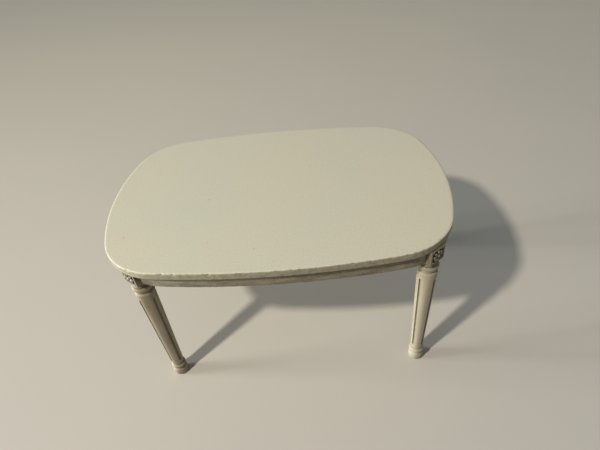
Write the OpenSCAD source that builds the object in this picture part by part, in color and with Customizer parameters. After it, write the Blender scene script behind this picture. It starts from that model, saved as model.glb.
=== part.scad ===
// Dolls' house dining table: a thin bowed top on four curved rails, with a turned and
// fluted leg under each corner. Origin on the floor under the middle of the top, +Z up,
// +X along the table, front towards -Y. Millimetres.

/* [Top board] */
// Length of the top, end to end
top_len = 90; // [70:1:120]
// Width of the top, front to back
top_wid = 60.6; // [48:0.1:80]
// Thickness of the top board
top_thick = 2; // [1.8:0.1:4]
// Radius of the bowed long edges
side_radius = 220; // [150:5:600]
// Radius of the bowed ends
end_radius = 58; // [46:1:120]
// Radius of the four corners
corner_radius = 16.3; // [10:0.1:22]

/* [Overall] */
// Height of the table from floor to top surface
table_height = 47.5; // [35:0.5:70]
// Sideways set of the rails and legs under the top
frame_shift = 0.8; // [-1:0.1:1]

/* [Rails] */
// Height of the rails under the top
rail_height = 4.1; // [2.6:0.1:5]
// Thickness of the rails
rail_thick = 1.8; // [1.4:0.1:2.4]
// Distance that the top overhangs the rails
rail_inset = 1.3; // [0.6:0.1:1.6]
// Thickness of the tongue on each rail end
tongue_thick = 0.8; // [0.5:0.1:1.2]
// Length of the tongue on each rail end
tongue_len = 1; // [0.6:0.1:1.3]
// Height of rail left plain under the tongue
tongue_shoulder = 1; // [0.4:0.1:1.4]

/* [Leg placing] */
// Direction that each corner block faces, measured from the end of the table
corner_angle = 54; // [45:1:62]
// Overhang of the top past the carved face of a block
face_inset = 0.15; // [0:0.05:0.6]

/* [Corner blocks] */
// Side of the square block at the head of a leg
block_side = 4.7; // [4.4:0.1:5.6]
// Height of the block
block_height = 4.4; // [3.8:0.1:7]
// Diameter of the pin on top of the block
pin_dia = 2.4; // [1.6:0.1:3]
// Length of the pin on top of the block
pin_len = 1.2; // [0.8:0.1:1.3]

/* [Rosettes] */
// Petals around each rosette
petals = 8; // [6:1:10]
// Radius of the circle that the petals stand on
petal_ring = 1.1; // [0.9:0.05:1.2]
// Diameter of one petal
petal_dia = 0.8; // [0.6:0.05:0.9]
// Diameter of the button in the middle
button_dia = 1.1; // [0.8:0.05:1.2]
// Height of the carving above the face
relief = 0.3; // [0.15:0.05:0.4]

/* [Turned leg] */
// Diameter of the collar under the block
collar_dia = 5.2; // [4.8:0.1:5.6]
// Height of the collar
collar_height = 1.8; // [1:0.1:2]
// Diameter of the hollow throat at its two ends
throat_dia = 4.6; // [4.2:0.1:4.7]
// Height of the throat between the block and the collar
throat_height = 1.3; // [1:0.1:2.4]
// Depth of the hollow around the throat
throat_hollow = 0.3; // [0.2:0.05:0.45]
// Height of the plain lip at each end of the hollow
throat_lip = 0.15; // [0.1:0.05:0.3]
// Diameter inside the groove below the collar
neck_dia = 4.2; // [3.6:0.1:4.4]
// Height of the groove below the collar
neck_height = 0.6; // [0.3:0.1:1]
// Diameter at the head of the shaft
shaft_top_dia = 5; // [4.4:0.1:5.4]
// Diameter at the foot of the shaft
shaft_foot_dia = 3.4; // [3.2:0.1:4]
// Radius of the rounded shoulder of the shaft
shoulder_radius = 0.6; // [0.3:0.1:0.7]

/* [Flutes] */
// Flutes around each shaft
flutes = 4; // [3:1:8]
// Width of a flute
flute_width = 0.6; // [0.4:0.05:0.8]
// Depth of a flute
flute_depth = 0.35; // [0.2:0.05:0.5]
// Plain length of shaft above the flutes
flute_top_gap = 1.4; // [0.8:0.1:3]
// Plain length of shaft below the flutes
flute_foot_gap = 1.4; // [0.8:0.1:4]

/* [Feet] */
// Diameter of the bun foot and of the ring above it
foot_dia = 4.1; // [3.8:0.1:4.8]
// Height of the bun foot
bun_height = 2.9; // [2:0.1:4]
// Radius of the bun foot's round edges
bun_round = 0.9; // [0.5:0.1:1]
// Height of the ring above the bun foot
ring_height = 1.4; // [0.8:0.1:1.6]
// Height of each groove beside the ring
foot_groove = 0.4; // [0.2:0.1:0.8]

/* [Fits] */
// Gap around a glued pin or tongue
glue_gap = 0.05; // [0.03:0.01:0.1]

/* [Hidden] */

paint = "#e3dcc6";
rail_paint = "#d8d0b8";
fine = 96;
broad = 720;
reach = 2 * (top_len + top_wid);

// Small steps kept the same at any size
groove_depth = 0.2;
button_lift = 0.1;
pin_root = 0.2;
mouth = 1;

half_len = top_len / 2;
half_wid = top_wid / 2;
under_top = table_height - top_thick;
half_block = block_side / 2;

// Centre of the corner arc that runs smoothly into the side arc and the end arc
side_centre_y = half_wid - side_radius;
end_centre_x = half_len - end_radius;
to_side = side_radius - corner_radius;
to_end = end_radius - corner_radius;
centres_apart = norm([end_centre_x, side_centre_y]);
along = (to_side ^ 2 - to_end ^ 2 + centres_apart ^ 2) / (2 * centres_apart);
across = sqrt(to_side ^ 2 - along ^ 2);
unit_x = end_centre_x / centres_apart;
unit_y = -side_centre_y / centres_apart;
corner_x = unit_x * along + unit_y * across;
corner_y = side_centre_y + unit_y * along - unit_x * across;

// Directions at which the corner arc meets the side arc and the end arc
side_meet = atan2(corner_y - side_centre_y, corner_x);
end_meet = atan2(corner_y, corner_x - end_centre_x);

// Leg axis, set back from the edge so that the block's face lies under it
leg_reach = corner_radius - face_inset - half_block;
leg_x = corner_x + leg_reach * cos(corner_angle);
leg_y = corner_y + leg_reach * sin(corner_angle);

// Levels of the turned leg above the floor
ring_level = bun_height + foot_groove;
shaft_level = ring_level + ring_height + foot_groove;
block_level = under_top - block_height;
throat_level = block_level - throat_height;
collar_level = throat_level - collar_height;
shaft_end = collar_level - neck_height;
shaft_height = shaft_end - shaft_level;
taper = atan((shaft_top_dia - shaft_foot_dia) / 2 / shaft_height);
flute_step = 360 / flutes;

tongue_inset = rail_inset + (rail_thick - tongue_thick) / 2;
tongue_level = under_top - rail_height + tongue_shoulder;

// ---- outlines ----

// The wedge-cut core that the side and end arcs bound
module core(inset) {
    far = corner_radius + end_radius;
    spokes = [
        [corner_x + far * cos(end_meet), corner_y + far * sin(end_meet)],
        [corner_x, corner_y],
        [corner_x + far * cos(side_meet), corner_y + far * sin(side_meet)]
    ];
    intersection() {
        polygon(concat(
            [for (p = spokes) p],
            [for (i = [2:-1:0]) [-spokes[i].x, spokes[i].y]],
            [for (p = spokes) -p],
            [for (i = [2:-1:0]) [spokes[i].x, -spokes[i].y]]
        ));
        translate([0, side_centre_y]) circle(side_radius - inset, $fn = broad);
        translate([0, -side_centre_y]) circle(side_radius - inset, $fn = broad);
        translate([end_centre_x, 0]) circle(end_radius - inset, $fn = broad);
        translate([-end_centre_x, 0]) circle(end_radius - inset, $fn = broad);
    }
}

// Outline of the top, moved inwards by inset
module outline(inset = 0) {
    core(inset);
    for (sx = [-1, 1], sy = [-1, 1])
        translate([sx * corner_x, sy * corner_y]) circle(corner_radius - inset, $fn = broad);
}

// Closed band between two insets
module band(inset, thick) {
    difference() {
        outline(inset);
        outline(inset + thick);
    }
}

// Half plane beyond a block's side: the long rail's side, or the end rail's
module beside_block(long, past) {
    translate([leg_x, leg_y]) rotate(corner_angle)
        translate([-reach, long ? half_block - past : past - half_block - reach])
            square([2 * reach, reach]);
}

// The half of the plan that holds the rail at +Y (long) or the rail at +X
module own_half(long) {
    translate([long ? -reach / 2 : 0, long ? 0 : -reach / 2]) square(reach);
}

// Plan of one rail, between the sides of its two blocks, running past them by past
module rail_plan(long, inset, thick, past) {
    intersection() {
        band(inset, thick);
        own_half(long);
        beside_block(long, past);
        mirror([long ? 1 : 0, long ? 0 : 1]) beside_block(long, past);
    }
}

// ---- rails ----

// One rail at +Y (long) or +X, with a tongue on each end
module rail(long) {
    color(rail_paint) {
        translate([0, 0, under_top - rail_height])
            linear_extrude(rail_height) rail_plan(long, rail_inset, rail_thick, 0);
        translate([0, 0, tongue_level])
            linear_extrude(under_top - tongue_level)
                rail_plan(long, tongue_inset, tongue_thick, tongue_len);
    }
}

// The slots that the tongues of both rails need in a block
module tongue_slots() {
    translate([0, 0, tongue_level - glue_gap])
        linear_extrude(top_thick + under_top - tongue_level) {
            rail_plan(true, tongue_inset - glue_gap, tongue_thick + 2 * glue_gap,
                tongue_len + glue_gap);
            rail_plan(false, tongue_inset - glue_gap, tongue_thick + 2 * glue_gap,
                tongue_len + glue_gap);
        }
}

// ---- leg ----

// Half profile of a moulding with a half-round edge
module bead(dia, level, height) {
    translate([0, level]) square([(dia - height) / 2, height]);
    translate([(dia - height) / 2, level + height / 2]) circle(height / 2, $fn = fine);
}

// Half profile of the throat, hollowed between two narrow lips
module throat() {
    edge = throat_dia / 2;
    half_hollow = throat_height / 2 - throat_lip;
    sweep = (half_hollow ^ 2 + throat_hollow ^ 2) / (2 * throat_hollow);
    translate([0, throat_level]) difference() {
        square([edge, throat_height]);
        translate([edge - throat_hollow + sweep, throat_height / 2]) circle(sweep, $fn = fine);
    }
}

// Half profile of the bun foot
module bun() {
    straight = foot_dia / 2 - bun_round;
    square([straight, bun_height]);
    translate([0, bun_round]) square([foot_dia / 2, bun_height - 2 * bun_round]);
    translate([straight, bun_round]) circle(bun_round, $fn = fine);
    translate([straight, bun_height - bun_round]) circle(bun_round, $fn = fine);
}

// Half profile of the tapered shaft with its rounded shoulder
module shaft() {
    head = shaft_top_dia / 2;
    round_x = head - shoulder_radius;
    round_y = shaft_end - shoulder_radius;
    polygon([
        [0, shaft_level],
        [shaft_foot_dia / 2, shaft_level],
        [head, round_y],
        [0, round_y]
    ]);
    translate([0, round_y]) square([round_x, shoulder_radius]);
    translate([round_x, round_y]) circle(shoulder_radius, $fn = fine);
}

// Half profile of everything below the block
module turning() {
    intersection() {
        union() {
            bun();
            bead(foot_dia, ring_level, ring_height);
            shaft();
            bead(collar_dia, collar_level, collar_height);
            throat();
            translate([0, bun_height / 2])
                square([shaft_foot_dia / 2 - groove_depth, shaft_level - bun_height / 2]);
            translate([0, shaft_end - shoulder_radius])
                square([neck_dia / 2, throat_level - shaft_end + shoulder_radius]);
        }
        square([collar_dia, block_level]);
    }
}

// One stopped flute, lying along the sloping side of the shaft
module flute() {
    start = flute_foot_gap + flute_width / 2;
    run = shaft_height - flute_top_gap - shoulder_radius - start - flute_width / 2;
    lift = flute_width / 2 - flute_depth;
    translate([shaft_foot_dia / 2, 0, shaft_level]) rotate([0, taper, 0])
        translate([lift, 0, start]) {
            cylinder(d = flute_width, h = run, $fn = fine);
            sphere(d = flute_width, $fn = fine);
            translate([0, 0, run]) sphere(d = flute_width, $fn = fine);
        }
}

// Carved flower on the block's +X face
module rosette() {
    middle = block_level + block_height / 2;
    translate([half_block, 0, middle]) {
        translate([relief + button_lift - button_dia / 2, 0, 0]) sphere(d = button_dia, $fn = fine);
        for (i = [0:petals - 1])
            rotate([i * 360 / petals, 0, 0])
                translate([relief - petal_dia / 2, 0, petal_ring])
                    sphere(d = petal_dia, $fn = fine);
    }
}

// Leg standing on the Z axis, its carved face towards +X
module leg_blank() {
    difference() {
        rotate(flute_step / 2) rotate_extrude($fn = fine) turning();
        for (i = [0:flutes - 1]) rotate(i * flute_step) flute();
    }
    translate([-half_block, -half_block, block_level])
        cube([block_side, block_side, block_height]);
    rosette();
    translate([0, 0, under_top - pin_root])
        cylinder(d = pin_dia, h = pin_root + pin_len, $fn = fine);
}

// The leg of the +X +Y corner
module corner_leg() {
    color(paint) difference() {
        translate([leg_x, leg_y, 0]) rotate(corner_angle) leg_blank();
        tongue_slots();
    }
}

// ---- sub-parts ----

module top_board() {
    color(paint) difference() {
        translate([0, 0, under_top]) linear_extrude(top_thick) outline();
        for (sx = [-1, 1], sy = [-1, 1])
            translate([frame_shift + sx * leg_x, sy * leg_y, under_top - mouth])
                cylinder(d = pin_dia + 2 * glue_gap, h = mouth + pin_len + glue_gap, $fn = fine);
    }
}

// Places a piece of the frame, made for +X +Y, at the corner or edge it belongs to
module placed(flip_x, flip_y) {
    translate([frame_shift, 0, 0])
        mirror([flip_x ? 1 : 0, 0, 0]) mirror([0, flip_y ? 1 : 0, 0]) children();
}

module front_rail() { placed(false, true) rail(true); }
module back_rail() { placed(false, false) rail(true); }
module left_rail() { placed(true, false) rail(false); }
module right_rail() { placed(false, false) rail(false); }

module front_left_leg() { placed(true, true) corner_leg(); }
module front_right_leg() { placed(false, true) corner_leg(); }
module back_left_leg() { placed(true, false) corner_leg(); }
module back_right_leg() { placed(false, false) corner_leg(); }

top_board();
front_rail();
back_rail();
left_rail();
right_rail();
front_left_leg();
front_right_leg();
back_left_leg();
back_right_leg();
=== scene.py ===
import math

import bmesh
import bpy
from mathutils import Matrix, Vector
from mathutils.bvhtree import BVHTree


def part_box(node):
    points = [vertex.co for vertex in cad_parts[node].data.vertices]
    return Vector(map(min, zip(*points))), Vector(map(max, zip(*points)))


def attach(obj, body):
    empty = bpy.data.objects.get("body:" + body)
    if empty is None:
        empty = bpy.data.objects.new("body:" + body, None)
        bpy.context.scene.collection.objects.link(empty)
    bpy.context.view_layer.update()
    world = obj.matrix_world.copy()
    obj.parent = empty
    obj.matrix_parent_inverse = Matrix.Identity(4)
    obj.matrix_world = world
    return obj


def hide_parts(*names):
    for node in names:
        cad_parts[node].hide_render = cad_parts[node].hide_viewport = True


mm = 0.001

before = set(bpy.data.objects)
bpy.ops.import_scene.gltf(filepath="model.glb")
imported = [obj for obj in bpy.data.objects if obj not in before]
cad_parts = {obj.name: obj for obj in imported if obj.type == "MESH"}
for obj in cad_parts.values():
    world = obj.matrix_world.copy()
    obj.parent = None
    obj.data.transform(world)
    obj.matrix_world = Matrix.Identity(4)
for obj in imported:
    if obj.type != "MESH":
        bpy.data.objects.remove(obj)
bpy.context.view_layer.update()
print("frame loaded:", len(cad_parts), "nodes")

scene = bpy.context.scene
scene.view_settings.view_transform = "Standard"


# hand tools

def letGo():
    if bpy.context.mode != "OBJECT":
        bpy.ops.object.mode_set(mode="OBJECT")
    bpy.ops.object.select_all(action="DESELECT")


def hold(piece, edit=False):
    letGo()
    piece.select_set(True)
    bpy.context.view_layer.objects.active = piece
    if edit:
        bpy.ops.object.mode_set(mode="EDIT")


def pick(piece, kind, test):
    bpy.ops.mesh.select_mode(type=kind)
    bpy.ops.mesh.select_all(action="DESELECT")
    work = bmesh.from_edit_mesh(piece.data)
    for item in {"VERT": work.verts, "EDGE": work.edges, "FACE": work.faces}[kind]:
        if test(item):
            item.select_set(True)
    bmesh.update_edit_mesh(piece.data)


def drawLine(name, points):  # a line of points drawn by extruding one vertex onwards
    letGo()
    bpy.ops.mesh.primitive_plane_add(size=mm, location=(0, 0, 0))
    piece = bpy.context.object
    piece.name = piece.data.name = name
    bpy.ops.object.mode_set(mode="EDIT")
    bpy.ops.mesh.select_mode(type="VERT")
    bpy.ops.mesh.select_all(action="SELECT")
    bpy.ops.mesh.merge(type="CENTER")
    bpy.ops.transform.translate(value=points[0])
    for before, after in zip(points, points[1:]):
        bpy.ops.mesh.extrude_region_move(TRANSFORM_OT_translate={"value": after - before})
    return piece


def closeLine():
    bpy.ops.mesh.select_all(action="SELECT")
    work = bmesh.from_edit_mesh(bpy.context.object.data)
    ends = [v for v in work.verts if len(v.link_edges) == 1]
    bpy.ops.mesh.select_all(action="DESELECT")
    for v in ends:
        v.select_set(True)
    bmesh.update_edit_mesh(bpy.context.object.data)
    bpy.ops.mesh.edge_face_add()
    bpy.ops.mesh.select_all(action="SELECT")


def sweep(centre, degrees, spacing, radius):  # carries the chosen line round a centre, clockwise from above
    turn = math.radians(degrees)
    steps = max(2, round(abs(turn) * radius / spacing))
    bpy.ops.mesh.spin(steps=steps, angle=turn, center=(centre[0], centre[1], 0), axis=(0, 0, 1))


def clean(piece, gap=0.001 * mm):
    hold(piece, edit=True)
    bpy.ops.mesh.select_all(action="SELECT")
    bpy.ops.mesh.remove_doubles(threshold=gap)
    bpy.ops.mesh.normals_make_consistent(inside=False)
    bpy.ops.object.mode_set(mode="OBJECT")


def useModifier(piece, kind, **settings):
    hold(piece)
    modifier = piece.modifiers.new(kind.title(), kind)
    for key, value in settings.items():
        setattr(modifier, key, value)
    bpy.ops.object.modifier_apply(modifier=modifier.name)


def joinSolid(piece, other):
    useModifier(piece, "BOOLEAN", operation="UNION", solver="MANIFOLD", object=other)
    bpy.data.objects.remove(other)


def cutSolid(piece, cutter):
    useModifier(piece, "BOOLEAN", operation="DIFFERENCE", solver="MANIFOLD", object=cutter)
    bpy.data.objects.remove(cutter)


def copyOf(piece, name):
    hold(piece)
    bpy.ops.object.duplicate(linked=False)
    twin = bpy.context.object
    twin.name = twin.data.name = name
    return twin


def settle(piece):  # place goes into the mesh, the object stays at the origin
    hold(piece)
    bpy.ops.object.transform_apply(location=True, rotation=True, scale=True)


def roughen(piece, size, depth, group=None):  # small unevenness, only ever inwards
    texture = bpy.data.textures.new("unevenness", "CLOUDS")
    texture.noise_scale = size
    texture.noise_depth = 2
    useModifier(piece, "DISPLACE", texture=texture, texture_coords="GLOBAL", strength=depth,
                mid_level=1.0, vertex_group=group or "")


def mark(piece, name, values):  # one value for each vertex, for the finishes
    layer = piece.data.attributes.new(name, "FLOAT", "POINT")
    layer.data.foreach_set("value", values)


def arc(centreR, centreZ, radius, start, end, count):  # points of a profile on a round, in degrees
    turn = [math.radians(start + (end - start) * i / count) for i in range(count + 1)]
    return [(centreR + radius * math.cos(a), centreZ + radius * math.sin(a)) for a in turn]


# outline of the board: side, end and corner arcs that run into each other

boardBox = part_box("top_board")
outline = {
    "sideRadius": 220 * mm,
    "endRadius": 58 * mm,
    "cornerRadius": 16.3 * mm,
    "spacing": 0.24 * mm,
}
halfLength = (boardBox[1].x - boardBox[0].x) / 2
halfWidth = 30.3 * mm
topLevel = boardBox[1].z
underBoard = boardBox[0].z

sideY = halfWidth - outline["sideRadius"]
endX = halfLength - outline["endRadius"]
toSide = outline["sideRadius"] - outline["cornerRadius"]
toEnd = outline["endRadius"] - outline["cornerRadius"]
apart = math.hypot(endX, sideY)
along = (toSide ** 2 - toEnd ** 2 + apart ** 2) / (2 * apart)
across = math.sqrt(toSide ** 2 - along ** 2)
cornerX = endX / apart * along - sideY / apart * across
cornerY = sideY - sideY / apart * along - endX / apart * across
sideMeet = math.degrees(math.atan2(cornerY - sideY, cornerX))
endMeet = math.degrees(math.atan2(cornerY, cornerX - endX))


# top board

topBoard = {
    "section": [(3, 0), (1.4, 0), (0.8, 0), (0.5, 0), (0.32, 0), (0.2, 0.005), (0.11, 0.03), (0.05, 0.07),
                (0.015, 0.13), (0, 0.22), (0, 0.36), (0, 0.55), (0, 0.8), (0, 1.05), (0, 1.3), (0, 1.55),
                (0, 1.75), (0.02, 1.87), (0.08, 1.96), (0.2, 2.0), (0.5, 2.0), (3, 2.0)],  # in, down
    "ragDepth": 0.12 * mm,
    "ragSize": 0.55 * mm,
    "ragReach": 0.3,  # how far below and above an arris it is ragged
    "waveDepth": 0.05 * mm,
    "waveSize": 0.9 * mm,
    "nickLevel": 0.3 * mm,  # below the top, where a knock is centred
    "nickFall": 0.3,  # down for each step in
    "nickDepth": 0.22,  # share of its reach
    "nicks": [(-34.2, -26.2, 0.7), (-32.4, -27, 0.5), (-26.2, -28.4, 0.75), (-23.4, -28.9, 0.6),
              (-15.3, -29.8, 0.6), (-7.4, -30.2, 0.45), (3.5, -30.3, 0.5), (17.2, -29.6, 0.6),
              (42.8, 17.4, 0.8), (35.1, 23.9, 0.55), (44.6, -6, 0.6), (12, 30, 0.7), (-14, 30, 0.5),
              (-33, 26.6, 0.8), (-44.5, 9, 0.6), (-44, -12, 0.5)],  # x, y, reach
}


def makeTopBoard():
    s = topBoard
    line = [Vector((0, halfWidth - i * mm, topLevel - d * mm)) for i, d in s["section"]]
    board = drawLine("tableTop", line)
    bpy.ops.mesh.select_all(action="SELECT")
    corner, end, side = sideMeet - endMeet, 2 * endMeet, 180 - 2 * sideMeet
    rounds = [(0, sideY, side / 2), (cornerX, cornerY, corner), (endX, 0, end), (cornerX, -cornerY, corner),
              (0, -sideY, side), (-cornerX, -cornerY, corner), (-endX, 0, end), (-cornerX, cornerY, corner),
              (0, sideY, side / 2)]
    radii = {0: outline["sideRadius"], abs(endX): outline["endRadius"]}
    for x, y, degrees in rounds:
        radius = radii.get(abs(x), outline["cornerRadius"])
        sweep((x, y), degrees, outline["spacing"], radius)
    bpy.ops.mesh.select_all(action="SELECT")
    bpy.ops.mesh.remove_doubles(threshold=0.002 * mm)
    for level in (topLevel, underBoard):
        pick(board, "EDGE", lambda e: e.is_boundary and abs(e.verts[0].co.z - level) < 0.01 * mm)
        bpy.ops.mesh.edge_face_add()
    clean(board)
    ragged = board.vertex_groups.new(name="ragged")
    upright = board.vertex_groups.new(name="upright")
    for v in board.data.vertices:
        drop = (topLevel - v.co.z) / mm
        inset = edgeInset(v.co) / mm
        top = max(0, 1 - abs(drop - 0.12) / s["ragReach"]) * max(0, 1 - inset / 0.5)
        low = max(0, 1 - abs(drop - 1.9) / s["ragReach"]) * max(0, 1 - inset / 0.5)
        ragged.add([v.index], max(top, 0.5 * low), "REPLACE")
        upright.add([v.index], 1.0 if inset < 0.02 else 0.0, "REPLACE")
    roughen(board, s["ragSize"], s["ragDepth"], "ragged")
    roughen(board, s["waveSize"], s["waveDepth"], "upright")
    depths = [0.0] * len(board.data.vertices)
    arris = [v for v in board.data.vertices
             if edgeInset(v.co) < s["nickLevel"] and topLevel - v.co.z < s["nickLevel"]]
    for x, y, reach in s["nicks"]:  # knocks on the upper edge, pressed in from the nearest point
        spot = min(arris, key=lambda v: (v.co.x - x * mm) ** 2 + (v.co.y - y * mm) ** 2).co.copy()
        spot.z = topLevel - s["nickLevel"]
        inward = -Vector((spot.x, spot.y, 0)).normalized()
        for v in board.data.vertices:
            step = v.co - spot
            depth = step.dot(inward)
            away = math.sqrt((step.length_squared - depth ** 2 - step.z ** 2) + (1.5 * depth) ** 2
                             + (1.6 * step.z) ** 2) / (reach * mm)
            if away < 1:
                depths[v.index] = max(depths[v.index], 1 - away)
                press = inward - Vector((0, 0, s["nickFall"]))
                v.co += press * s["nickDepth"] * reach * mm * (1 - away * away)
    mark(board, "nick", depths)
    return board


def edgeInset(spot):  # how far in from the outline a point lies
    x, y = abs(spot.x), abs(spot.y)
    fromCorner = Vector((x - cornerX, y - cornerY))
    turn = math.degrees(math.atan2(fromCorner.y, fromCorner.x))
    if turn > sideMeet or x < cornerX and y > cornerY:
        return outline["sideRadius"] - math.hypot(x, y - sideY)
    if turn < endMeet:
        return outline["endRadius"] - math.hypot(x - endX, y)
    return outline["cornerRadius"] - fromCorner.length


def markEdge(board):  # the wall of the board, and its two arrises where they are rubbed
    edge, arris = [], []
    for v in board.data.vertices:
        inset, drop = edgeInset(v.co) / mm, (topLevel - v.co.z) / mm
        edge.append((0.22 - inset) / 0.2 + min(0, drop - 0.2) * 4)
        upper, lower = abs(drop - 0.1) / 0.22, 0.3 + abs(drop - 1.9) / 0.15
        arris.append(1.15 - abs(inset - 0.1) / 0.2 - min(upper, lower))
    for name, values in (("edge", edge), ("arris", arris)):
        mark(board, name, [max(0, min(1, value)) for value in values])


# rails

rails = {
    "inset": 1.3 * mm,
    "thick": 1.8 * mm,
    "soft": 0.16 * mm,
    "spacing": outline["spacing"] * 1.3,
    "overrun": 7,  # degrees swept past a block's side before it is trimmed
    "ragDepth": 0.1 * mm,
    "ragSize": 0.7 * mm,
    "wornReach": 0.3 * mm,  # in from the outer face, and up from the lower edge
}
legAxes = {}
for name in ("front_left_leg", "front_right_leg", "back_left_leg", "back_right_leg"):
    low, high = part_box(name)
    legAxes[name] = Vector(((low.x + high.x) / 2, (low.y + high.y) / 2, 0))
frameShift = (legAxes["back_right_leg"].x + legAxes["back_left_leg"].x) / 2
legSpot = Vector((legAxes["back_right_leg"].x - frameShift, legAxes["back_right_leg"].y, 0))
cornerAngle = math.degrees(math.atan2(legSpot.y - cornerY, legSpot.x - cornerX))
blockSide = 4.7 * mm


def makeRail(name, long):
    low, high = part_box("back_rail" if long else "right_rail")
    r0, r1 = rails["inset"], rails["inset"] + rails["thick"]
    soft = rails["soft"]
    rows = [low.z + soft + (high.z - low.z - 2 * soft) * i / 9 for i in range(10)]
    section = [(r0, z) for z in rows] + [(r0 + soft * 0.4, high.z - soft * 0.3), (r0 + soft, high.z),
                                         (r1 - soft, high.z), (r1, high.z - soft)]
    section += [(r1, z) for z in reversed(rows[::3])][1:] + [(r1 - soft, low.z), (r0 + soft, low.z),
                                                            (r0 + soft * 0.3, low.z + soft * 0.3)]
    start = cornerAngle + (rails["overrun"] if long else -rails["overrun"])
    way = Vector((math.cos(math.radians(start)), math.sin(math.radians(start)), 0))
    middle = Vector((cornerX, cornerY, 0))
    line = [middle + way * (outline["cornerRadius"] - r) + Vector((0, 0, z)) for r, z in section]
    rail = drawLine(name, line)
    closeLine()
    if long:
        rounds = [(cornerX, cornerY, start - sideMeet, outline["cornerRadius"]),
                  (0, sideY, 2 * sideMeet - 180, outline["sideRadius"]),
                  (-cornerX, cornerY, start - sideMeet, outline["cornerRadius"])]
    else:
        rounds = [(cornerX, cornerY, start - endMeet, outline["cornerRadius"]),
                  (endX, 0, 2 * endMeet, outline["endRadius"]),
                  (cornerX, -cornerY, start - endMeet, outline["cornerRadius"])]
    for x, y, degrees, radius in rounds:
        sweep((x, y), degrees, rails["spacing"], radius)
    turn = math.radians(cornerAngle)
    off = Vector((-math.sin(turn), math.cos(turn), 0)) * (1 if long else -1)
    for mirrored in (False, True):
        spot, out = legSpot + off * blockSide / 2, off.copy()
        if mirrored and long:
            spot.x, out.x = -spot.x, -out.x
        elif mirrored:
            spot.y, out.y = -spot.y, -out.y
        bpy.ops.mesh.select_all(action="SELECT")
        bpy.ops.mesh.bisect(plane_co=spot, plane_no=out, use_fill=True, clear_inner=True)
    clean(rail)
    rail.location.x = frameShift
    settle(rail)
    return rail


def worn(rail):
    group = rail.vertex_groups.new(name="outside")
    low = min(v.co.z for v in rail.data.vertices)
    for v in rail.data.vertices:
        outside = edgeInset(v.co - Vector((frameShift, 0, 0))) < rails["inset"] + rails["wornReach"]
        share = 1.0 if v.co.z < low + rails["wornReach"] else 0.5
        group.add([v.index], share if outside else 0.0, "REPLACE")
    roughen(rail, rails["ragSize"], rails["ragDepth"], "outside")


# legs

turnedLeg = {
    "bun": (4.1, 2.9, 0.9),  # diameter, height, round
    "ring": (4.1, 3.3, 1.4),  # diameter, level, height
    "footCore": 1.5,
    "shaft": (5.1, 36.8, 1.7, 2.5),  # low and high level, low and high radius
    "shoulder": 0.6,
    "neck": 2.1,
    "collar": (5.2, 38.0, 1.8),
    "throat": (4.6, 39.8, 1.3, 0.3, 0.15),  # diameter, level, height, hollow, lip
    "intoBlock": 0.3,
    "around": 96,
    "waveDepth": 0.03 * mm,
    "waveSize": 1.2 * mm,
}
flutes = {"count": 4, "width": 0.6, "sink": 0.05, "low": 6.8, "high": 35.1}
block = {"side": 4.7, "low": 41.1, "frame": 0.38, "slope": 0.08, "sink": 0.32, "soft": 0.14}
rosette = {
    "petals": 8,
    "petalOut": 0.98,  # middle of a petal from the middle of the flower
    "petal": (0.42, 0.36, 0.68),  # half depth, half width, half length
    "button": 0.5,
    "pinch": 0.45,  # narrower at the root
    "crease": (0.45, 0.35),  # depth and half width of the fold down a petal
    "lift": 0.3,
    "buttonProud": 0.08,
    "bud": 0.34,
    "budOut": 2.18,
}


def turnLeg():
    s = turnedLeg
    core = s["footCore"]
    dia, height, soft = s["bun"]
    r = dia / 2 - soft
    stop = math.degrees(math.acos((core - r) / soft))
    points = [(0, 0), (r, 0)] + arc(r, soft, soft, -90, 0, 8)[1:] + arc(r, height - soft, soft, 0, stop, 6)
    dia, level, height = s["ring"]
    r, half = (dia - height) / 2, height / 2
    stop = math.degrees(math.acos((core - r) / half))
    points += arc(r, level + half, half, -stop, stop, 12)
    low, high, thin, thick = s["shaft"]
    points += [(core, low)]
    points += [(thin + (thick - thin) * i / 26, low + (high - low) * i / 26) for i in range(27)]
    soft = s["shoulder"]
    stop = math.degrees(math.acos((s["neck"] - thick + soft) / soft))
    points += arc(thick - soft, high, soft, 0, stop, 7)[1:]
    dia, level, height = s["collar"]
    r, half = (dia - height) / 2, height / 2
    stop = math.degrees(math.acos((s["neck"] - r) / half))
    points += arc(r, level + half, half, -stop, stop, 14)
    dia, level, height, hollow, lip = s["throat"]
    half = height / 2 - lip
    curve = (half ** 2 + hollow ** 2) / (2 * hollow)
    stop = math.degrees(math.asin(half / curve))
    points += [(s["neck"], level), (dia / 2, level)]
    points += arc(dia / 2 - hollow + curve, level + height / 2, curve, 180 + stop, 180 - stop, 10)
    top, into = level + height, s["intoBlock"]
    points += [(dia / 2, top), (dia / 2 - into, top + into), (0, top + into)]
    leg = drawLine("turnedLeg", [Vector((r * mm, 0, z * mm)) for r, z in points])
    bpy.ops.mesh.select_all(action="SELECT")
    bpy.ops.mesh.spin(steps=s["around"], angle=2 * math.pi, center=(0, 0, 0), axis=(0, 0, 1))
    clean(leg)
    return leg


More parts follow.
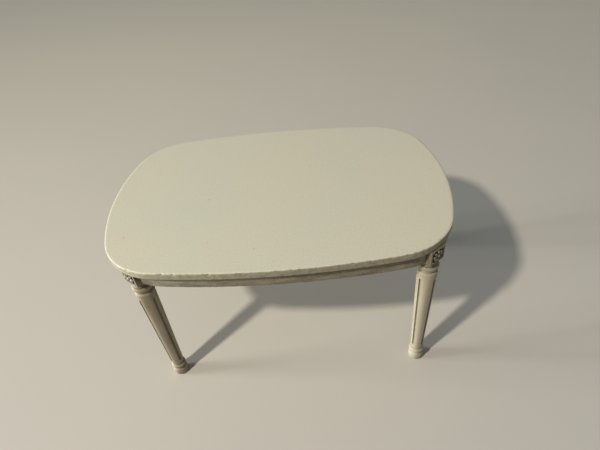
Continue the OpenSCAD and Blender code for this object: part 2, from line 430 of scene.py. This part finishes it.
def cutFlutes(leg):
    low, high, thin, thick = turnedLeg["shaft"]
    lean = math.atan((thick - thin) / (high - low))
    r = flutes["width"] / 2
    run = flutes["high"] - flutes["low"] - 2 * r
    for i in range(flutes["count"]):
        letGo()
        bpy.ops.mesh.primitive_uv_sphere_add(segments=24, ring_count=12, radius=r * mm, location=(0, 0, 0))
        cutter = bpy.context.object
        bpy.ops.object.mode_set(mode="EDIT")
        pick(cutter, "VERT", lambda v: v.co.z > 0.01 * mm)
        bpy.ops.transform.translate(value=(0, 0, run * mm))
        bpy.ops.object.mode_set(mode="OBJECT")
        z = flutes["low"] + r
        at = thin + (thick - thin) * (z - low) / (high - low) - flutes["sink"]
        cutter.rotation_euler = (0, lean, 0)
        cutter.location = (at * mm, 0, z * mm)
        settle(cutter)
        cutter.rotation_euler = (0, 0, i * 2 * math.pi / flutes["count"])
        settle(cutter)
        cutSolid(leg, cutter)


def carveBlock():
    s = block
    side, low = s["side"], s["low"]
    high = underBoard / mm
    letGo()
    bpy.ops.mesh.primitive_cube_add(size=1, location=(0, 0, (low + high) / 2 * mm),
                                    scale=(side * mm, side * mm, (high - low) * mm))
    cube = bpy.context.object
    cube.name = cube.data.name = "cornerBlock"
    settle(cube)
    useModifier(cube, "BEVEL", width=s["soft"] * mm, segments=3, limit_method="ANGLE")
    hold(cube, edit=True)
    pick(cube, "FACE", lambda f: f.normal.x > 0.999 and f.calc_area() > 9 * mm * mm)
    bpy.ops.mesh.inset(thickness=s["frame"] * mm, depth=0)
    bpy.ops.mesh.inset(thickness=s["slope"] * mm, depth=-s["sink"] * mm)
    bpy.ops.object.mode_set(mode="OBJECT")
    return cube


def shapedBall(at, half, turn=0, pinch=0.0):
    fold, foldWidth = rosette["crease"]
    letGo()
    bpy.ops.mesh.primitive_uv_sphere_add(segments=20, ring_count=12, radius=1, location=(0, 0, 0))
    ball = bpy.context.object
    bpy.ops.object.mode_set(mode="EDIT")
    work = bmesh.from_edit_mesh(ball.data)
    for v in work.verts:  # a petal is narrow at its root and creased down its middle
        v.co.y *= 1 + pinch * v.co.z
        if pinch and v.co.x > 0:
            v.co.x *= 1 - fold * max(0, 1 - abs(v.co.y) / foldWidth)
    bmesh.update_edit_mesh(ball.data)
    bpy.ops.object.mode_set(mode="OBJECT")
    ball.scale = [h * mm for h in half]
    ball.location = [a * mm for a in at]
    settle(ball)
    ball.rotation_euler = (turn, 0, 0)
    settle(ball)
    return ball


def carveFlower():
    s = rosette
    face = block["side"] / 2
    depth = s["petal"][0]
    flower = None
    parts = []
    for i in range(s["petals"]):
        turn = i * 2 * math.pi / s["petals"]
        parts.append(shapedBall((s["lift"] - depth, 0, s["petalOut"]), s["petal"], turn, s["pinch"]))
    parts.append(shapedBall((s["lift"] + s["buttonProud"] - s["button"], 0, 0), (s["button"],) * 3))
    bud = (s["bud"], s["bud"] * 0.8, s["bud"] * 1.1)
    for i in range(4):
        turn = math.radians(45 + 90 * i)
        parts.append(shapedBall((s["buttonProud"] - s["bud"], 0, s["budOut"]), bud, turn))
    middle = Vector((face * mm, 0, (block["low"] * mm + underBoard) / 2))
    for part in parts:
        part.location = middle
        settle(part)
        if flower is None:
            flower = part
        else:
            joinSolid(flower, part)
    return flower


def makeLeg():
    leg = turnLeg()
    cutFlutes(leg)
    head = carveBlock()
    joinSolid(head, carveFlower())
    joinSolid(leg, head)
    clean(leg, 0.003 * mm)
    proud = (block["side"] / 2 + 0.03) * mm
    mark(leg, "rosetteHighlight", [1.0 if v.co.x > proud and v.co.z > block["low"] * mm else 0.0
                         for v in leg.data.vertices])
    return leg


# crevices: each vertex is told how shut in it is, for the painted shade in the hollows

hollows = {
    "reach": 1.3 * mm,
    "rays": 20,
    "start": 0.02 * mm,
    "fade": 0.6,
    "broad": 60,  # a face with more corners is taken as a fan
}


def markShutInForShade(pieces):
    reach, rays = hollows["reach"], hollows["rays"]
    points, faces = [], []
    for piece in pieces:
        start = len(points)
        points += [v.co.copy() for v in piece.data.vertices]
        small = [p for p in piece.data.polygons if len(p.vertices) < hollows["broad"]]
        faces += [[start + i for i in p.vertices] for p in small]
        for p in piece.data.polygons:
            if len(p.vertices) >= hollows["broad"]:  # the board's two broad faces, as a fan
                loop = [start + i for i in p.vertices]
                points.append(sum((points[i] for i in loop), Vector()) / len(loop))
                faces += [[loop[i - 1], loop[i], len(points) - 1] for i in range(len(loop))]
    tree = BVHTree.FromPolygons(points, faces)
    golden = math.pi * (3 - math.sqrt(5))
    spread = []
    for i in range(rays):
        up = math.sqrt((i + 0.5) / rays)
        flat = math.sqrt(1 - up * up)
        spread.append(Vector((flat * math.cos(golden * i), flat * math.sin(golden * i), up)))
    for piece in pieces:
        values = []
        for v in piece.data.vertices:
            turn = v.normal.to_track_quat("Z", "Y").to_matrix()
            start = v.co + v.normal * hollows["start"]
            hits = 0.0
            for way in spread:
                found = tree.ray_cast(start, turn @ way, reach)
                if found[0] is not None:
                    hits += 1 - hollows["fade"] * found[3] / reach
            values.append(min(1, hits / rays))
        mark(piece, "hollow", values)


# finishes

def newFinish(name):
    finish = bpy.data.materials.new(name)
    finish.use_nodes = True
    return finish, finish.node_tree, finish.node_tree.nodes["Principled BSDF"]


def addNode(tree, kind, settings=None, **wires):
    made = tree.nodes.new(kind)
    for key, value in (settings or {}).items():
        if key in made.inputs:
            made.inputs[key].default_value = value
        else:
            setattr(made, key, value)
    for key, wire in wires.items():
        tree.links.new(wire, made.inputs[int(key[1:])] if key[1:].isdigit() else made.inputs[key])
    return made


def spotNoise(tree, size, detail=2, stretch=(1, 1, 1), rough=0.5):  # noise whose lumps are size metres wide
    place = addNode(tree, "ShaderNodeTexCoord").outputs["Object"]
    place = addNode(tree, "ShaderNodeMapping", {"Scale": stretch}, Vector=place).outputs["Vector"]
    return addNode(tree, "ShaderNodeTexNoise", {"Scale": 1 / size, "Detail": detail, "Roughness": rough},
                   Vector=place).outputs["Fac"]


def between(tree, value, low, high, start=0.0, end=1.0):
    span = {"From Min": low, "From Max": high, "To Min": start, "To Max": end}
    return addNode(tree, "ShaderNodeMapRange", span, Value=value).outputs["Result"]


def marked(tree, name):  # what mark() wrote
    return addNode(tree, "ShaderNodeAttribute", {"attribute_name": name}).outputs["Fac"]


def addBump(tree, shader, strength, depth, height):
    bump = addNode(tree, "ShaderNodeBump", {"Strength": strength, "Distance": depth}, Height=height)
    tree.links.new(bump.outputs["Normal"], shader.inputs["Normal"])


def times(tree, a, b):
    return addNode(tree, "ShaderNodeMath", {"operation": "MULTIPLY"}, i0=a, i1=b).outputs[0]


def plus(tree, a, b):
    return addNode(tree, "ShaderNodeMath", {"operation": "ADD"}, i0=a, i1=b).outputs[0]


def shaded(hexColour):  # "#rrggbb" as linear colour
    parts = [int(hexColour[i:i + 2], 16) / 255 for i in (1, 3, 5)]
    return [p / 12.92 if p <= 0.04045 else ((p + 0.055) / 1.055) ** 2.4 for p in parts] + [1]


def blendColour(tree, amount, first, second, kind="MIX"):
    mix = tree.nodes.new("ShaderNodeMix")
    mix.data_type = "RGBA"
    mix.blend_type = kind
    for socket, value in ((mix.inputs[6], first), (mix.inputs[7], second)):
        if isinstance(value, str):
            socket.default_value = shaded(value)
        else:
            tree.links.new(value, socket)
    if isinstance(amount, (int, float)):
        mix.inputs[0].default_value = amount
    else:
        tree.links.new(amount, mix.inputs[0])
    return mix.outputs[2]


topPaint = {
    "cream": "#c1bba5",
    "warm": "#c8bda2",
    "green": "#bdbca5",
    "speck": "#8f846e",
    "band": "#8d856e",
    "bare": "#776b54",
    "pale": "#d3cdbb",
    # the next colour is for dirt in pits and on the arris, and for the painted shade in shut-in places
    "dirt": "#6d6350",
    "roughness": 0.52,
    "wornRoughness": 0.25,  # added on the rubbed edge
    "driftSize": 30 * mm,
    "mistSize": 0.5 * mm,
    "pitSpacing": 2.6 * mm,
    "pitPatch": 7 * mm,
    "ragSize": 0.9 * mm,
    "chalkSize": 0.45 * mm,
    "bump": (0.5, 0.03 * mm),
}
railPaint = {
    "cream": "#8b826d",
    "dark": "#6c624e",
    "light": "#a89f8a",
    # the next colour is for dark grit, and for the painted shade under the board
    "dirt": "#453c2e",
    "roughness": 0.75,
    "grainSize": 1.1 * mm,
    "grainDraw": 0.2,  # the grain is five times as long as it is wide
    "gritSize": 0.45 * mm,
    "bump": (0.7, 0.06 * mm),
}
legPaint = {
    "cream": "#958a72",
    "warm": "#807256",
    "light": "#bcb5a1",
    # the next colour is the painted shade in the hollows and under the board
    "dirt": "#31271a",
    # the next colour is the painted light on the right-hand legs
    "pale": "#bdb49d",
    # the next colour is the painted highlight on the rosette
    "flower": "#dcd7c7",
    "roughness": 0.6,
    "dirtAndShadeRoughness": 0.8,
    "driftSize": 5 * mm,
    "gritSize": 0.4 * mm,
    "paintedLightFrom": (-30 * mm, 30 * mm),  # along the table, for the painted light that makes the right-hand legs paler
    "headFrom": (36 * mm, 41 * mm),  # up the leg, where the plain turning ends
    "bump": (0.35, 0.03 * mm),
}


def mixTopPaint():
    s = topPaint
    finish, tree, shader = newFinish("topPaint")
    drift = spotNoise(tree, s["driftSize"], 3)
    colour = blendColour(tree, between(tree, drift, 0.35, 0.65), s["warm"], s["green"])
    colour = blendColour(tree, 0.5, colour, s["cream"])
    mist = spotNoise(tree, s["mistSize"], 3, rough=0.7)  # sprayed speckle
    colour = blendColour(tree, between(tree, mist, 0.56, 0.76, 0, 0.55), colour, s["pale"])
    colour = blendColour(tree, between(tree, mist, 0.44, 0.26, 0, 0.35), colour, s["speck"])
    pits = addNode(tree, "ShaderNodeTexVoronoi", {"Scale": 1 / s["pitSpacing"], "Randomness": 1.0},
                   Vector=addNode(tree, "ShaderNodeTexCoord").outputs["Object"]).outputs["Distance"]
    rare = between(tree, spotNoise(tree, s["pitPatch"], 1), 0.58, 0.63)
    pit = times(tree, between(tree, pits, 0.13, 0.05), rare)
    pit = times(tree, pit, between(tree, mist, 0.3, 0.7, 0.15, 0.6))
    colour = blendColour(tree, pit, colour, s["dirt"])
    edge = marked(tree, "edge")
    arris = marked(tree, "arris")
    rag = spotNoise(tree, s["ragSize"], 3, rough=0.65)
    colour = blendColour(tree, edge, colour, s["band"])
    colour = blendColour(tree, times(tree, edge, between(tree, rag, 0.48, 0.64, 0, 0.7)), colour, s["bare"])
    chalk = between(tree, spotNoise(tree, s["chalkSize"], 3, rough=0.7), 0.56, 0.72, 0, 0.5)
    colour = blendColour(tree, times(tree, edge, chalk), colour, s["pale"])
    colour = blendColour(tree, times(tree, arris, between(tree, rag, 0.5, 0.38, 0, 0.6)), colour, s["pale"])
    colour = blendColour(tree, times(tree, arris, between(tree, rag, 0.6, 0.68)), colour, s["dirt"])
    nick = marked(tree, "nick")
    knock = plus(tree, nick, times(tree, rag, nick))
    colour = blendColour(tree, between(tree, knock, 0.3, 1.0, 0, 0.75), colour, s["bare"])
    # painted shade: darker where the board is shut in, along its lower edge and where the rails and legs
    # meet it
    hollow = marked(tree, "hollow")
    colour = blendColour(tree, between(tree, hollow, 0.35, 0.9, 0, 0.6), colour, s["dirt"])
    tree.links.new(colour, shader.inputs["Base Color"])
    rough = between(tree, mist, 0.2, 0.8, s["roughness"] - 0.06, s["roughness"] + 0.12)
    worn = between(tree, plus(tree, edge, arris), 0, 1, 0, s["wornRoughness"])
    tree.links.new(plus(tree, rough, worn), shader.inputs["Roughness"])
    addBump(tree, shader, *s["bump"], plus(tree, mist, times(tree, edge, rag)))
    return finish


def mixRailPaint(name, stretch):
    s = railPaint
    finish, tree, shader = newFinish(name)
    saw = spotNoise(tree, s["grainSize"], 4, stretch, 0.65)  # grain drawn out along the rail
    grit = spotNoise(tree, s["gritSize"], 3, rough=0.7)
    colour = blendColour(tree, between(tree, saw, 0.4, 0.66), s["dark"], s["cream"])
    colour = blendColour(tree, between(tree, grit, 0.54, 0.72, 0, 0.5), colour, s["light"])
    colour = blendColour(tree, between(tree, grit, 0.44, 0.28, 0, 0.4), colour, s["dirt"])
    # painted shade: shut-in places darkened, widening the shadow line under the board's overhang at the top
    # of the rail
    hollow = marked(tree, "hollow")
    colour = blendColour(tree, between(tree, hollow, 0.2, 0.6, 0, 0.92), colour, s["dirt"])
    tree.links.new(colour, shader.inputs["Base Color"])
    shader.inputs["Roughness"].default_value = s["roughness"]
    addBump(tree, shader, *s["bump"], plus(tree, saw, grit))
    return finish


def mixLegPaint():
    s = legPaint
    finish, tree, shader = newFinish("legPaint")
    drift = spotNoise(tree, s["driftSize"], 3, (1, 1, 0.35))
    colour = blendColour(tree, between(tree, drift, 0.35, 0.65), s["cream"], s["warm"])
    grit = spotNoise(tree, s["gritSize"], 3, rough=0.65)
    place = addNode(tree, "ShaderNodeTexCoord").outputs["Object"]
    place = addNode(tree, "ShaderNodeSeparateXYZ", i0=place).outputs
    # painted light: legs towards the right paler, fading out up at the head
    paintedLight = times(tree, between(tree, place["X"], *s["paintedLightFrom"], 0, 0.38),
                  between(tree, place["Z"], *s["headFrom"], 1, 0))
    colour = blendColour(tree, paintedLight, colour, s["pale"])
    colour = blendColour(tree, between(tree, grit, 0.55, 0.8, 0, 0.5), colour, s["light"])
    # painted highlight: the rosette's raised parts lighter
    rosetteHighlight = marked(tree, "rosetteHighlight")
    rosetteHighlight = times(tree, rosetteHighlight, between(tree, grit, 0.4, 0.6, 0, 0.6))
    colour = blendColour(tree, rosetteHighlight, colour, s["flower"])
    # painted shade: shut-in places, the flutes and the head of the leg darkened
    hollow = marked(tree, "hollow")
    high = between(tree, place["Z"], *s["headFrom"], 0, 0.24)  # painted shade, darker up towards the head under the board and rails
    hollow = plus(tree, hollow, plus(tree, high, between(tree, grit, 0.3, 0.7, -0.08, 0.08)))
    shadeMask = between(tree, hollow, 0.18, 0.52, 0, 0.88)
    colour = blendColour(tree, shadeMask, colour, s["dirt"])
    tree.links.new(colour, shader.inputs["Base Color"])
    rough = between(tree, shadeMask, 0, 1, s["roughness"], s["dirtAndShadeRoughness"])
    tree.links.new(rough, shader.inputs["Roughness"])
    addBump(tree, shader, *s["bump"], plus(tree, grit, drift))
    return finish


def fit(piece, node, finish, angle=35):
    hold(piece)
    bpy.ops.object.shade_smooth_by_angle(angle=math.radians(angle))
    piece.data.materials.clear()
    piece.data.materials.append(finish)
    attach(piece, "root")
    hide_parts(node)


# making

tableTop = makeTopBoard()
print("top board made:", len(tableTop.data.polygons), "faces")

backRail = makeRail("backRail", True)
frontRail = copyOf(backRail, "frontRail")
rightRail = makeRail("rightRail", False)
leftRail = copyOf(rightRail, "leftRail")
for rail in (frontRail, leftRail):  # half a turn about the middle of the frame
    rail.matrix_world = (Matrix.Translation((frameShift, 0, 0)) @ Matrix.Rotation(math.pi, 4, "Z")
                         @ Matrix.Translation((-frameShift, 0, 0)))
    settle(rail)
for rail in (backRail, frontRail, leftRail, rightRail):
    worn(rail)
print("rails made:", [len(r.data.polygons) for r in (frontRail, leftRail)], "faces")

pattern = makeLeg()
print("leg made:", len(pattern.data.polygons), "faces")
cornerLegs = {}
for node, axis in legAxes.items():
    first, *rest = node.split("_")
    leg = copyOf(pattern, first + "".join(word.title() for word in rest))
    turn = cornerAngle if axis.x > frameShift else 180 - cornerAngle
    leg.rotation_euler.z = math.radians(turn if axis.y > 0 else -turn)
    leg.location = axis
    settle(leg)
    roughen(leg, turnedLeg["waveSize"], turnedLeg["waveDepth"])
    cornerLegs[node] = leg
bpy.data.objects.remove(pattern)

allPieces = [tableTop, frontRail, backRail, leftRail, rightRail, *cornerLegs.values()]
markShutInForShade(allPieces)
markEdge(tableTop)
print("hollows marked")

topFinish = mixTopPaint()
longFinish = mixRailPaint("longRailPaint", (railPaint["grainDraw"], 1, 1))
endFinish = mixRailPaint("endRailPaint", (1, railPaint["grainDraw"], 1))
legFinish = mixLegPaint()
fit(tableTop, "top_board", topFinish)
fit(frontRail, "front_rail", longFinish)
fit(backRail, "back_rail", longFinish)
fit(leftRail, "left_rail", endFinish)
fit(rightRail, "right_rail", endFinish)
for node, leg in cornerLegs.items():
    fit(leg, node, legFinish)
print("finishes on")


# floor, light and camera

studio = {
    "floorSize": 3,
    # the floor's two tones below are painted light: darker near, lighter far
    "floorNearPaintedShade": "#bdb6aa",
    "floorFarPaintedLight": "#cdc3ae",
    "floorPaintedLightRamp": (-60 * mm, 260 * mm),
    "floorDrift": 60 * mm,
    "keyAt": (-0.233, -0.228, 0.389),
    "keyPower": 1.92,
    "keySize": 0.03,
    "keyColour": (1, 0.96, 0.89),
    "softboxAt": (-5.0, 0.0, 0.58),
    "softboxPower": 490.0,
    "softboxSize": 1.4,
    "softboxColour": (0.92, 0.97, 1.03),
    "fill": 0.22,
    "fillColour": (0.8, 0.92, 1.06),
    "backdrop": "#b9b6b0",
    "cameraAt": (10.07, -98.86, 120.61),
    "cameraTurn": (48.532, 4.790, -1.233),
    "lens": 27.363,
    "sensor": 36,
    "nearest": 5 * mm,
}


def setFloor():
    letGo()
    bpy.ops.mesh.primitive_plane_add(size=studio["floorSize"], location=(0, 0, 0))
    floor = bpy.context.object
    floor.name = "floor"
    finish, tree, shader = newFinish("floorPaint")
    place = addNode(tree, "ShaderNodeTexCoord").outputs["Object"]
    # painted light: the floor darker near the front and lighter towards the back, with a little random
    # drift
    away = addNode(tree, "ShaderNodeSeparateXYZ", i0=place).outputs["Y"]
    away = plus(tree, between(tree, away, *studio["floorPaintedLightRamp"]),
                between(tree, spotNoise(tree, studio["floorDrift"], 2), 0.3, 0.7, -0.06, 0.06))
    colour = blendColour(tree, away, studio["floorNearPaintedShade"], studio["floorFarPaintedLight"])
    tree.links.new(colour, shader.inputs["Base Color"])
    shader.inputs["Roughness"].default_value = 1.0
    shader.inputs["Specular IOR Level"].default_value = 0.0
    floor.data.materials.append(finish)


def setLamp(name):
    lamp = bpy.data.lights.new(name, "AREA")
    lamp.shape = "DISK"
    lamp.size = studio[name + "Size"]
    lamp.energy = studio[name + "Power"]
    lamp.color = studio[name + "Colour"]
    holder = bpy.data.objects.new(name, lamp)
    scene.collection.objects.link(holder)
    holder.location = studio[name + "At"]
    holder.rotation_euler = holder.location.to_track_quat("Z", "Y").to_euler()


def setLight():
    setLamp("key")
    setLamp("softbox")
    world = bpy.data.worlds.new("room")
    scene.world = world
    world.use_nodes = True
    tree = world.node_tree
    sky = tree.nodes["Background"]
    sky.inputs["Color"].default_value = (*studio["fillColour"], 1)
    sky.inputs["Strength"].default_value = studio["fill"]
    backdrop = addNode(tree, "ShaderNodeBackground", {"Color": shaded(studio["backdrop"]), "Strength": 1.0})
    ray = addNode(tree, "ShaderNodeLightPath").outputs
    seen = plus(tree, ray["Is Camera Ray"], plus(tree, ray["Is Glossy Ray"], ray["Is Transmission Ray"]))
    mix = addNode(tree, "ShaderNodeMixShader", Fac=seen, i1=sky.outputs[0], i2=backdrop.outputs[0])
    tree.links.new(mix.outputs[0], tree.nodes["World Output"].inputs["Surface"])


def setCamera():
    lens = bpy.data.cameras.new("view")
    lens.sensor_width = studio["sensor"]
    lens.lens = studio["lens"]
    lens.clip_start = studio["nearest"]
    holder = bpy.data.objects.new("view", lens)
    scene.collection.objects.link(holder)
    holder.location = Vector(studio["cameraAt"]) * mm
    holder.rotation_euler = [math.radians(a) for a in studio["cameraTurn"]]
    scene.camera = holder


setFloor()
setLight()
setCamera()
print("studio set")
